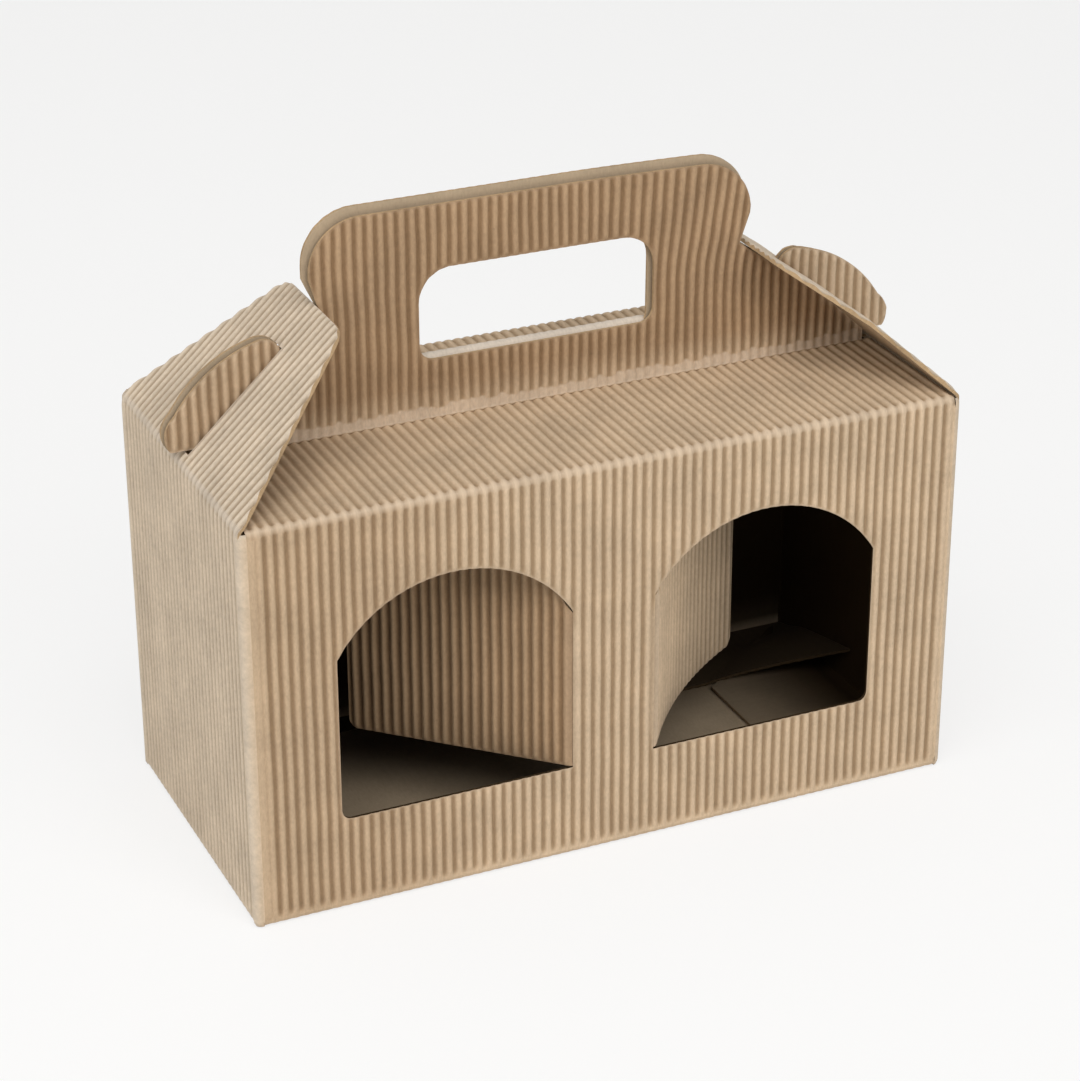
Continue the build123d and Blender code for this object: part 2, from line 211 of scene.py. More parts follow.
def columns(low, high, first, extra):
    """Distances across the ridges: eight to a pitch, plus the given ones, with none crowded against those."""
    step = PITCH / 8
    grid = first + step * np.arange(np.ceil((low - first) / step), np.floor((high - first) / step) + 1)
    kept = np.unique(np.round([low, high, *[e for e in extra if low < e < high]], 4))
    kept = kept[np.append(True, np.diff(kept) > 0.02)]
    gap = np.abs(grid[:, None] - kept[None, :]).min(1)
    return np.sort(np.append(grid[gap > 0.09], kept))


def corner_steps(edge, radius, sign):
    """Column places that divide a round corner into even turns, from a vertical edge inward."""
    return edge + sign * radius * (1 - np.cos(np.radians([0, 12, 24, 36, 48, 60, 75, 90])))


def levels(rows, counts):
    """Distances along the ridges for every column: even steps from each of the given rows to the next."""
    parts = [rows[0][:, None]]
    for low, high, count in zip(rows[:-1], rows[1:], counts):
        share = np.arange(1, count + 1) / count
        parts.append(low[:, None] + (high - low)[:, None] * share)
    return np.concatenate(parts, 1)


def strip_path(start, heading, corners, v):
    """Place and heading at distances v along a line with rounded corners, as complex numbers.

    Each corner is (distance, turn, radius): the line runs straight, and round a corner it follows
    an arc that touches both straight runs.
    """
    v = np.asarray(v, float)
    place = start + heading * v
    facing = np.full(v.shape, heading, complex)
    point, head, before = start, heading, 0.0
    for at, turn, radius in corners:
        point = point + head * (at - before)
        before = at
        reach = radius * np.tan(abs(turn) / 2)
        after = head * np.exp(1j * turn)
        share = np.clip((v - at + reach) / (2 * reach), 0, 1)
        arc = radius * np.sign(turn) * (np.exp(1j * turn * share) - 1) / 1j
        bent = point - head * reach + head * arc
        beyond = point + after * (v - at)
        inside = np.abs(v - at) < reach
        place = np.where(v >= at, beyond, place)
        place = np.where(inside, bent, place)
        facing = np.where(v >= at, after, facing)
        facing = np.where(inside, head * np.exp(1j * turn * share), facing)
        head = after
    return place, facing


def circle_through(first, middle, last, count):
    """Points of the arc through three complex points, evenly turned from the first to the last."""
    w = (last - first) / (middle - first)
    centre = first + (middle - first) * (w - abs(w) ** 2) / (2j * w.imag)
    to_middle = np.angle((middle - centre) / (first - centre)) % (2 * np.pi)
    to_last = np.angle((last - centre) / (first - centre)) % (2 * np.pi)
    sweep = to_last if to_middle < to_last else to_last - 2 * np.pi
    return centre + (first - centre) * np.exp(1j * sweep * np.linspace(0, 1, count))


def put_mesh(name, points, faces, slots, shade, values, materials):
    """A mesh object in metres from whole arrays: places, faces, material slots and named values."""
    mesh = bpy.data.meshes.new(name)
    mesh.from_pydata((points * 0.001).tolist(), [], faces)
    for material in materials:
        mesh.materials.append(material)
    mesh.polygons.foreach_set("material_index", np.asarray(slots, np.int32))
    mesh.polygons.foreach_set("use_smooth", np.asarray(shade, bool))
    for key, array in values.items():
        kind = "FLOAT_VECTOR" if array.ndim == 2 else "FLOAT"
        attribute = mesh.attributes.new(key, kind, "POINT")
        attribute.data.foreach_set("vector" if array.ndim == 2 else "value", array.astype(np.float32).ravel())
    mesh.update()
    piece = bpy.data.objects.new(name, mesh)
    bpy.context.scene.collection.objects.link(piece)
    return piece


def from_cut(u, v, keep, joined):
    """Distance of every grid point from the nearest cut, as far as four columns and three rows away.

    A point lies on a cut if some but not all of the four cells round it are kept; joined ones, where
    the sheet goes on in another piece, don't count.
    """
    solid = np.pad(keep, 1).astype(int)
    around = solid[:-1, :-1] + solid[1:, :-1] + solid[:-1, 1:] + solid[1:, 1:]
    cut = (around > 0) & (around < 4) & ~joined
    far = np.where(cut, 0.0, 9.0)
    shape = far.shape
    across = np.pad(np.broadcast_to(u, shape), ((4, 4), (3, 3)), mode="edge")
    along = np.pad(v, ((4, 4), (3, 3)), mode="edge")
    marked = np.pad(cut, ((4, 4), (3, 3)))
    for i in range(9):
        for j in range(7):
            window = (slice(i, i + shape[0]), slice(j, j + shape[1]))
            gap = np.hypot(across[window] - u, along[window] - v)
            far = np.where(marked[window], np.minimum(far, gap), far)
    return far


def board(name, u, v, keep, place, surface, fine=(), joined=None, indoor_shade=None, crush=0.8):
    """A sheet of board on a grid of columns u and rows v, cut to the cells kept.

    The inner face is place(u, v); the outer one stands off it along its outward direction by the
    liner and the ridges' height there, which sinks beside a cut, where the die has pressed them.
    Short walls join the two faces round every cut. The surface gives three values: the ridges'
    height from 0 to 1, how hard the paper is pressed (below 0 for painted shade in a fold) and
    painted light and shade by panel (1, painted light, on the side walls, -1, painted shade, on the
    handle, down to -2 on the left window flap). The inner face takes every fourth column, those at
    which a cut begins or ends, and each one in the fine stretches.
    """
    across = np.broadcast_to(u[:, None], v.shape)
    inner, outward = place(across, v)
    ridge, press, painted_tone = surface(across, v)
    closed = joined(across, v) if joined else np.zeros(v.shape, bool)
    pinch = np.exp(-((from_cut(across, v, keep, closed) / 0.65) ** 2))
    ridge = crushed(ridge, crush * pinch, 0.35)
    press = np.where(press < 0, press, np.maximum(press, 0.45 * pinch))
    # painted shade: how far the inner liner and cut edges darken towards the inside colour
    dim = indoor_shade(across, v) if indoor_shade else np.zeros(v.shape)
    outer = inner + outward * (LINER + FLUTE * ridge)[..., None]
    index = np.arange(v.size).reshape(v.shape)
    for j in range(v.shape[1] - 1):
        same = np.abs(v[:, j + 1] - v[:, j]) < 1e-6
        index[same, j + 1] = index[same, j]

    middle = np.argwhere(keep)
    i, j = middle[len(middle) // 2]
    turn = np.cross(outer[i + 1, j] - outer[i, j], outer[i, j + 1] - outer[i, j]) @ outward[i, j]
    facing = 1 if turn > 0 else -1

    def cells(cols, kept):
        a, b = index[cols[:-1]], index[cols[1:]]
        quads = np.stack([a[:, :-1], b[:, :-1], b[:, 1:], a[:, 1:]], -1)[kept]
        return quads[:, ::facing]

    outer_quads = cells(np.arange(len(u)), keep)
    step = np.zeros(len(u), bool)
    step[::4] = True
    step[-1] = True
    step[1:-1] |= np.any(keep[1:] != keep[:-1], axis=1)
    for low, high in fine:
        step |= (u > low - 0.3) & (u < high + 0.3)
    coarse = np.flatnonzero(step)
    inner_quads = cells(coarse, keep[coarse[:-1]])[:, ::-1] + v.size

    edges = []
    solid = np.pad(keep, 1)
    flat = np.abs(v[:-1, 1:] - v[:-1, :-1]) + np.abs(v[1:, 1:] - v[1:, :-1]) < 1e-6
    for (di, dj), (ai, aj), (bi, bj) in (
        ((0, -1), (0, 0), (1, 0)),
        ((1, 0), (1, 0), (1, 1)),
        ((0, 1), (1, 1), (0, 1)),
        ((-1, 0), (0, 1), (0, 0)),
    ):
        beyond = solid[1 + di : 1 + di + keep.shape[0], 1 + dj : 1 + dj + keep.shape[1]]
        i, j = np.nonzero(keep & ~flat & ~beyond)
        a, b = index[i + ai, j + aj], index[i + bi, j + bj]
        edges.append(np.stack([a, b], -1)[a != b])
    a, b = np.concatenate(edges)[:, ::facing].T
    flat_inner, flat_outer = inner.reshape(-1, 3), outer.reshape(-1, 3)
    wall_points = np.stack([flat_inner[a], flat_inner[b], flat_outer[b], flat_outer[a]], 1).reshape(-1, 3)
    wall_quads = np.arange(len(wall_points)).reshape(-1, 4) + 2 * v.size
    source = np.stack([a, b, b, a], 1).ravel()

    def on_faces(values, outside=None):
        """A value's array for the outer face, the inner face and the walls."""
        values = np.broadcast_to(values, v.shape).ravel()
        return np.concatenate([values if outside is None else outside, values, values[source]])

    points = np.concatenate([flat_outer, flat_inner, wall_points])
    values = {
        "sheet": np.stack([on_faces(across), on_faces(v), np.zeros(len(points))], -1) * 0.001,
        "rise": on_faces(ridge),
        "pressed": on_faces(press),
        "indoor_shade": on_faces(dim, np.zeros(v.size)),
        "painted_tone": on_faces(painted_tone),
    }
    quads = np.concatenate([outer_quads, inner_quads, wall_quads])
    slots = np.repeat([0, 1, 2], [len(outer_quads), len(inner_quads), len(wall_quads)])
    used = np.zeros(len(points), bool)
    used[quads] = True
    renumber = np.cumsum(used) - 1
    corners = [list(dict.fromkeys(quad)) for quad in renumber[quads].tolist()]
    whole = np.array([len(c) > 2 for c in corners])
    faces = [c for c in corners if len(c) > 2]
    values = {key: array[used] for key, array in values.items()}
    return put_mesh(name, points[used], faces, slots[whole], slots[whole] != 2, values, board_materials())


def along_x(u, place, facing, mirror=1):
    """Inner face and outward direction of a strip whose line runs in the YZ plane."""
    out = 1j * facing
    points = np.stack([u, mirror * place.real, place.imag], -1)
    return points, np.stack([np.zeros_like(u), mirror * out.real, out.imag], -1)


# Distances along the two long strips, from the floor's fold.
TOP_FOLD = HEIGHT - 2 * BOARD
ROOF_FOLD = TOP_FOLD + INNER_Y + HANDLE_Y
HANDLE = ROOF_FOLD - (HEIGHT - BOARD)  # add it to a height on the handle
FLOOR_ROWS = (-3, -0.6, 0.6, 3)
ROOF_ROWS = (TOP_FOLD - 3.5, TOP_FOLD + 3.5, ROOF_FOLD - 3.5, ROOF_FOLD)
LONG_CORNERS = [(0.0, -np.pi / 2, 0.2), (TOP_FOLD, -np.pi / 2, 0.4), (ROOF_FOLD, np.pi / 2, 1.3)]


def long_strip(u, v, mirror):
    """Line of the front or rear strip: along the floor, up the wall, over the roof and up the handle.

    The handle's right upper part leans to the front, by the product of two smooth steps.
    """
    shifted = v + 100
    corners = [(at + 100, turn, radius) for at, turn, radius in LONG_CORNERS]
    place, facing = strip_path(100 - INNER_Y + 1j * BOARD, -1, corners, shifted)
    points, out = along_x(u, place, facing, mirror)
    tall = smooth_step((v - HANDLE - HEIGHT - LEAN_START) / 50) * (v > ROOF_FOLD)
    points[..., 1] -= LEAN * smooth_step((u - 5) / 75) * tall
    return points, out


def crushed(ridge, amount, level):
    """Ridges sunk towards an even level by a share."""
    return ridge * (1 - amount) + level * amount


def long_surface(seed, mirror):
    """Ridges of a long strip, crushed at its folds and flat beside the wall's left edge, with painted shade
    on its handle panel.
    """

    def surface(u, v):
        on_handle = smooth_step((v - ROOF_FOLD + 1) / 2)
        stray = waver(u, v, seed) * bpy.context.scene.kraft.waver_mm * (1 + on_handle)
        inside = smooth_step((u - FIRST_X) / 1.5) * smooth_step((LAST_X - u) / 1.5)
        rising = v - ROOF_FOLD - 22
        skew = 0.075 * np.clip(rising, 0, None) * smooth_step(rising / 14) * smooth_step((u - 8) / 44)
        ridge = ridges(u + stray * inside - skew, FIRST_X) * ridge_strength(u, FIRST_X, seed)
        on_wall = smooth_step(v / 1.5) * smooth_step((TOP_FOLD - v) / 2)
        bare = np.maximum(FIRST_X + 0.95 - u, u - LAST_X + 0.95) / 0.95
        ridge = crushed(ridge, smooth_step(bare) * on_wall, 0.92)
        on_roof = smooth_step((v - TOP_FOLD - 1) / 2) * (1 - on_handle)
        ridge = crushed(ridge, 0.32 * on_roof, 0.6)
        foot = v - ROOF_FOLD
        uneven = 3.9 + 9 * (ridge_strength(u, FIRST_X, seed + 20) - 0.93)
        band = smooth_step((foot + 0.3) / 0.4) * smooth_step((uneven - foot) / 0.7)
        low, top = near(v, 0, 1.1), near(v, TOP_FOLD, 0.85)
        ridge = crushed(ridge, 0.9 * low, 0.78)
        ridge = crushed(ridge, 0.62 * top, 0.55)
        ridge = crushed(ridge, 0.45 * band, 0.55) - 0.25 * near(foot, -0.6, 0.6) + 0.2 * near(v, 0, 0.2)
        beside = smooth_step((v - WINDOW_LOW) / 4) * smooth_step((WINDOW_SPRING - v) / 4) * (mirror > 0)
        hinge = near(np.abs(u), PIER - 0.4, 1.1) * beside
        ridge = crushed(ridge, 0.5 * hinge, 0.5)
        press = 0.05 * low + 0.6 * top + 1.1 * band + 0.35 * hinge
        # painted shade: pressed value below 0 in the fold at the handle's foot, shown in the dark fold colour
        press = np.where(foot > -2, press - 1.6 * near(foot, -0.55, 0.4), press)
        over_flap = (v - HANDLE - FOLD_Z) * np.cos(SLOPE) - (FOLD_X - np.abs(u)) * np.sin(SLOPE)
        lobe = smooth_step((over_flap + 1) / 2) * smooth_step((np.abs(u) - 58) / 2)
        left_end = smooth_step((-u - 20) / 45) * (v > 0) * (v < TOP_FOLD) * (mirror > 0)
        # Painted shade: the handle panel darker and browner, but not on the lobes that stand above the end
        # flaps, of which the left one is a little darker; the front wall is also darker towards its left end.
        painted_tone = -smooth_step((foot - 2) / 9) * (1 - lobe) - 0.45 * left_end - 0.4 * lobe * (u < 0)
        return np.clip(ridge, 0, 1), np.clip(press, -1, 1), painted_tone

    return surface


def hole_edges(u, shift, low, high):
    """Lower and upper edge of the hand hole above each column, level beyond its sides."""
    x = np.clip(np.abs(u - shift), 0, HOLE_HALF)
    in_low = np.clip(x - HOLE_HALF + HOLE_LOWER_R, 0, None)
    in_high = np.clip(x - HOLE_HALF + HOLE_UPPER_R, 0, None)
    return low + fall_back(HOLE_LOWER_R, in_low), high - fall_back(HOLE_UPPER_R, in_high)


def on_flap(bend, along, out):
    """Point of the right end flap: x + iz at a distance from its fold and out of its smooth sheet."""
    past = max(0, along - BEND_START)
    turn = SLOPE - bend if past else SLOPE
    line = (along - past) * np.exp(-1j * SLOPE) + past * np.exp(-1j * turn)
    return FOLD_X + 1j * FOLD_Z - line + out * 1j * np.exp(-1j * turn)


def lobe_edges(slit_end, bend, rise):
    """Lower and upper edge of a lobe, as on the right: three arcs, parted at their farthest point."""
    tall = LOBE_HEIGHT + rise
    toe = FOLD_X + LOBE_TOE + 1j * (FOLD_Z + SLIT_ROOT + SLIT_GAP)
    belly = on_flap(bend, 0.2 * slit_end, 0.9 * tall)
    shoulder = on_flap(bend, 0.9 * slit_end, 0.64 * tall)
    heel = on_flap(bend, slit_end - 1.1 * SLIT_GAP, FLUTE)
    lower = circle_through(toe, on_flap(bend, 0.04 * slit_end, 0.65 * tall), belly, 60)
    back = circle_through(belly, on_flap(bend, 0.55 * slit_end, tall), shoulder, 80)
    upper = circle_through(shoulder, on_flap(bend, 0.975 * slit_end, 0.42 * tall), heel, 40)
    edge = np.concatenate([lower, back[1:], upper[1:]])
    far = np.argmax(edge.real)
    return edge[: far + 1], edge[far:][::-1]


def handle_side(x, side, shift, hole, top, lobe_rise, under):
    """Rows of one side of a handle panel at distances x from its middle, and how far its parts reach.

    Each column is divided at the hole, the notch and the head. Past the notch it ends on the
    shoulder or on the lobe, and its rows are the same shares of that shorter height. A short row
    next to every cut holds the crushed ridges.
    """
    slit_end, bend = SHAPES[side]
    lower, upper = lobe_edges(slit_end, bend, lobe_rise)
    tip = on_flap(bend, FLAP_LENGTH + NOTCH_GAP, -under)
    notch, head_x, reach = tip.real - side, tip.real + HOOK + side * shift, upper[-1].real
    shoulder = tip.imag + (tip.real - x) * np.tan(SLOPE - bend)
    notch_z = tip.imag + (tip.real - notch) * np.tan(SLOPE - bend)
    hole_low, hole_high = hole
    base = FOLD_Z + SLIT_ROOT + SLIT_GAP
    start = np.where(x > lower[0].real, np.interp(x, lower.real, lower.imag), base)
    bottom, roof = hole_edges(x * side, shift, hole_low, hole_high)
    end = np.where(x < upper[0].real - SLIT_GAP, shoulder, np.interp(x, upper.real, upper.imag))
    beyond = x > notch
    edge = HOLE_HALF + side * shift
    over = hole_high + 2 + np.clip((x - edge) / (notch - edge), 0, 1) * (notch_z - hole_high - 2)
    below = np.where(beyond, end, over)
    share_low = (hole_low + HOLE_LOWER_R - base) / (notch_z - base)
    share_high = (hole_high - HOLE_UPPER_R - base) / (notch_z - base)
    rows_low = np.where(beyond, start + share_low * (below - start), bottom)
    rows_high = np.where(beyond, start + share_high * (below - start), roof)
    gap = notch_z + np.clip(x - notch, 0, None) * (HEAD_SIDE - notch_z) / (head_x - notch)
    head = top - fall_back(HEAD_R, np.clip(x - head_x + HEAD_R, 0, HEAD_R))
    neck = np.where(beyond, gap, over)
    low_rim = np.minimum(RIM, 0.3 * (rows_low - start))
    high_rim = np.minimum(RIM, 0.3 * (below - rows_high))
    rows = [start, start + low_rim, rows_low - low_rim, rows_low]
    rows += [rows_high, rows_high + high_rim, below - high_rim, below]
    rows += [neck, np.maximum(head - RIM, neck), np.maximum(head, gap)]
    extra = [side * upper[0].real, side * (upper[0].real - SLIT_GAP - 0.01), side * notch, side * NECK]
    extra += list(side * reach - side * 3 * (1 - np.cos(np.radians([0, 15, 30, 45, 60]))))
    extra += list(side * head_x - side * HEAD_R * (1 - np.cos(np.radians([0, 8, 16, 24, 34, 46]))))
    for radius in (HOLE_UPPER_R, HOLE_LOWER_R):
        extra += list(corner_steps(shift + side * HOLE_HALF, radius, -side))
    return rows, extra, (notch, head_x, reach)


HANDLE_COUNTS = [2, 3, 2, 6, 2, 2, 2, 1, 5, 2]  # cells in each of a handle panel's storeys


def handle_rows(u, shift, hole, top, lobe_rises, under):
    """Rows of a whole handle panel, the columns its cuts need, and how far its parts reach by side."""
    sides = zip((-1, 1), lobe_rises)
    left, right = (handle_side(np.abs(u), side, shift, hole, top, rise, under) for side, rise in sides)
    rows = [np.where(u < 0, a, b) for a, b in zip(left[0], right[0])]
    return rows, left[1] + right[1], {-1: left[2], 1: right[2]}


def handle_keep(mid, shift, reaches):
    """Which cells of a handle panel's storeys exist, column by column."""
    notch, head, reach = (np.where(mid < 0, *[reaches[s][k] for s in (-1, 1)]) for k in range(3))
    x = np.abs(mid)
    panel = x < reach
    hole = np.abs(mid - shift) < HOLE_HALF
    solid, inner = [panel] * 3, [x < notch]
    return solid + [panel & ~hole] + solid + inner + [x < head] * 2


def long_columns(extra, reaches):
    """Columns of a long strip: eight to a pitch and the edges of its cuts."""
    low, high = -reaches[-1][2], reaches[1][2]
    return columns(low, high, FIRST_X, [LEFT_END, RIGHT_END, -0.2, 0.2, *extra])


def level_rows(size, *heights):
    """Rows at one distance each for every column."""
    return [np.full(size, float(height)) for height in heights]


def whole_sheet(v):
    """Every cell of a grid with the rows v."""
    return np.ones((v.shape[0] - 1, v.shape[1] - 1), bool)


def fine_ends(shift, reaches):
    """Stretches of a handle panel's columns with its hand hole's ends, lobes, notches and head corners."""
    fine = []
    for side in (-1, 1):
        notch, head, reach = reaches[side]
        hole = HOLE_HALF + side * shift
        spots = [(hole - 4, hole + 4), (reach - 6, reach), (notch - 1, notch + 1), (head - 5, head)]
        fine += [tuple(sorted((side * a, side * b))) for a, b in spots]
    return fine


def at_corner(u, v):
    """Where a long strip's wall goes on round the box's corner."""
    return ((u < LEFT_END + 0.01) | (u > RIGHT_END - 0.01)) & (v > -0.7) & (v < TOP_FOLD - 0.7)


def carton_inner_shade(u, v):
    """Share of painted shade on a long strip's smooth side: 1 at its wall and roof, less on its floor, 0 on
    its handle.
    """
    on_floor = 0.5 * smooth_step((-v - 38) / 34)
    return smooth_step((ROOF_FOLD - 1 - v) / 3) * np.where(v < 0, on_floor, 0.05 + 0.95 * smooth_step(v / 4))


def front_board():
    """Front strip: floor flap, wall with both windows, roof panel and handle panel in one folded sheet.

    Columns run along X and rows along the strip's line; the windows, the hand hole, the lobes and the
    head are where rows bend to their edges and the cells between are left out.
    """
    rise = WINDOW_TOP - WINDOW_SPRING
    arc_r = ((WINDOW_OUT - PIER) ** 2 / 4 + rise**2) / (2 * rise)
    arc_x = (WINDOW_OUT + PIER) / 2
    _, extra, reaches = handle_rows(np.zeros(3), *FRONT_HANDLE)
    extra += [s * e for s in (-1, 1) for e in (PIER, WINDOW_OUT)] + [FLOOR_END]
    for s in (-1, 1):
        extra += list(corner_steps(s * WINDOW_OUT, WINDOW_CORNER, -s))
    u = long_columns(extra, reaches)
    n = len(u)
    x = np.abs(u)
    rows, _, _ = handle_rows(u, *FRONT_HANDLE)
    in_corner = np.clip(x - WINDOW_OUT + WINDOW_CORNER, 0, WINDOW_CORNER)
    sill = WINDOW_LOW + fall_back(WINDOW_CORNER, in_corner) - BOARD
    arch = WINDOW_TOP - fall_back(arc_r, x - arc_x)
    arch = np.where((x > PIER) & (x < WINDOW_OUT), arch, WINDOW_SPRING) - BOARD
    free = np.where(u < 0, *FRONT_FREE)
    low = [-(free + INNER_Y), *level_rows(n, *FLOOR_ROWS), sill - RIM, sill, arch, arch + RIM]
    counts = [8, 4, 6, 4, 4, 2, 7, 2, 6, 14, 9, 5, 8] + HANDLE_COUNTS
    v = levels(low + level_rows(n, *ROOF_ROWS) + [r + HANDLE for r in rows], counts)
    mid = (u[1:] + u[:-1]) / 2
    strip = (mid > LEFT_END) & (mid < RIGHT_END)
    window = (np.abs(mid) > PIER) & (np.abs(mid) < WINDOW_OUT)
    storeys = [strip & (mid < FLOOR_END)] + [strip] * 5 + [strip & ~window] + [strip] * 5
    storeys += [strip & (np.abs(mid) < NECK)] + handle_keep(mid, FRONT_HANDLE[0], reaches)
    keep = np.repeat(np.stack(storeys, 1), counts, axis=1)
    fine = [(s * e - 2.6, s * e + 2.6) for s in (-1, 1) for e in (PIER, WINDOW_OUT)]
    fine += fine_ends(FRONT_HANDLE[0], reaches)
    hinge = lambda a, b: (np.abs(np.abs(a) - PIER) < 0.01) & (b > WINDOW_LOW) & (b < WINDOW_SPRING)
    joined = lambda a, b: at_corner(a, b) | hinge(a, b)
    place = lambda a, b: long_strip(a, b, 1)
    piece = board("front_board", u, v, keep, place, long_surface(3, 1), fine, joined, carton_inner_shade)
    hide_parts("carton")
    return piece


def rear_edge(u):
    """Place in Y of the rear floor flap's free edge: its right half slants forward past the seam."""
    beyond = np.clip((u - SEAM_X) / SLANT_X, 0, None)
    return np.where(u < 0, REAR_FREE[0], REAR_FREE[1] - SLANT_Y * beyond**1.3)


def rear_line(u, v):
    """Rear strip's line, whose right floor half steps up over the front flap and lifts at its corner.

    The lift grows with the distance past a slanting line from the seam to the carton's corner.
    """
    points, out = long_strip(u, v, -1)
    x, y = points[..., 0], points[..., 1]
    on_floor = (v < -0.5) & (x > 0)
    step = BOARD * smooth_step((37 - y) / 11)
    slant = REAR_FREE[1] + (x - SEAM_X) * (INNER_Y - REAR_FREE[1]) / SLANT_X
    beyond = np.clip(slant - y, 0, None) * (x > SEAM_X)
    points[..., 2] += np.where(on_floor, step + 0.33 * beyond**0.91, 0)
    return points, out


def rear_board():
    """Rear strip: its floor flap, plain wall, roof panel and the taller handle panel in one folded sheet."""
    _, extra, reaches = handle_rows(np.zeros(3), *REAR_HANDLE)
    u = long_columns([*extra, SEAM_X], reaches)
    rows, _, _ = handle_rows(u, *REAR_HANDLE)
    low = [rear_edge(u) - INNER_Y, *level_rows(len(u), *FLOOR_ROWS, *ROOF_ROWS)]
    counts = [12, 4, 6, 4, 14, 14, 9, 5, 8] + HANDLE_COUNTS
    v = levels(low + [r + HANDLE for r in rows], counts)
    mid = (u[1:] + u[:-1]) / 2
    strip = (mid > LEFT_END) & (mid < RIGHT_END)
    storeys = [strip] * 8 + [strip & (np.abs(mid) < NECK)] + handle_keep(mid, REAR_HANDLE[0], reaches)
    keep = np.repeat(np.stack(storeys, 1), counts, axis=1)
    fine = fine_ends(REAR_HANDLE[0], reaches)
    # painted shade: the rear floor flap's liner darkened most, the rest as on the front strip
    inside = lambda a, b: np.where(b < 0, 0.9, carton_inner_shade(a, b))
    return board("rear_board", u, v, keep, rear_line, long_surface(5, -1), fine, at_corner, inside)


SIDE_BASE = BOARD  # smooth face beside a side wall's lower fold
SIDE_FOLD = FOLD_Z - LINER / 2 * (1 - np.sin(SLOPE)) / np.cos(SLOPE) - SIDE_BASE
WALL_HALF = 40.95  # side wall's flat part, short of its rounded corners
CORNER_R = 0.5
# Along a side strip's line: where its floor flap steps down, at what angle, and the wall's lower fold.
STEP_OUT, STEP_IN, STEP_TURN = 94.0, 97.73, 0.357
FOOT = 100.23


def flap_line(u, v, sign):
    """Side strip seen along Y: over the floor, down to the ground, up the wall and up the end flap."""
    bend = SHAPES[sign][1]
    corners = [(STEP_OUT, -STEP_TURN, 1.0), (STEP_IN, STEP_TURN, 1.0), (FOOT, np.pi / 2, 0.15)]
    corners.append((SIDE_FOLD + FOOT, np.pi / 2 - SLOPE, 0.6))
    if bend:
        corners.append((SIDE_FOLD + BEND_START + FOOT, bend, BEND_R))
    place, facing = strip_path(INNER_X - 100 + 1j * (SIDE_BASE + BOARD), 1, corners, v + FOOT)
    out = -1j * facing
    points = np.stack([sign * place.real, u, place.imag], -1)
    return points, np.stack([sign * out.real, np.zeros_like(u), out.imag], -1)


def side_line(u, v, sign):
    """Side strip's line, whose wall ends, seen from above, turn round the box's corners on a small arc."""
    points, outward = flap_line(u, v, sign)
    plan, heading = strip_path(INNER_X + 0j, 1j, [(INNER_Y, np.pi / 2, CORNER_R)], np.abs(u))
    side = np.sign(u)
    turned = np.abs(u) > WALL_HALF
    away = -1j * heading
    round_points = np.stack([sign * plan.real, side * plan.imag, SIDE_BASE + v], -1)
    round_out = np.stack([sign * away.real, side * away.imag, np.zeros_like(u)], -1)
    tall = turned[..., None]
    return np.where(tall, round_points, points), np.where(tall, round_out, outward)


def side_surface(seed):
    """Ridges of a side wall and its end flap, crushed at their folds and flat round the corners, with painted
    light over them.
    """

    def surface(u, v):
        stray = waver(u, v, seed) * bpy.context.scene.kraft.waver_mm
        inside = smooth_step((-FIRST_Y - np.abs(u)) / 1.5)
        ridge = ridges(u + stray * inside, FIRST_Y) * ridge_strength(u, FIRST_Y, seed)
        flat = smooth_step((np.abs(u) + FIRST_Y + PITCH / 2) / 0.7) * (v < SIDE_FOLD)
        ridge = crushed(ridge, flat, 0.92)
        low, top = near(v, 0, 1.1) * (np.abs(u) < WALL_HALF), near(v, SIDE_FOLD, 1.0)
        ridge = crushed(crushed(ridge, 0.9 * low, 0.78), 0.6 * top, 0.5)
        round_corner = smooth_step((np.abs(u) - INNER_Y + 0.3) / 1.0) * (v < SIDE_FOLD - 0.3)
        # painted light: the side walls and end flaps take the paler, bluer tint, less round the corners
        return ridge, np.clip(0.2 * low + 0.5 * top, 0, 1), 1 - 0.8 * round_corner

    return surface


def side_inner_shade(u, v):
    """Share of painted shade on a side wall's smooth side: 1 there, less on its floor flap."""
    return 0.4 + 0.6 * smooth_step((v + 34) / 30)


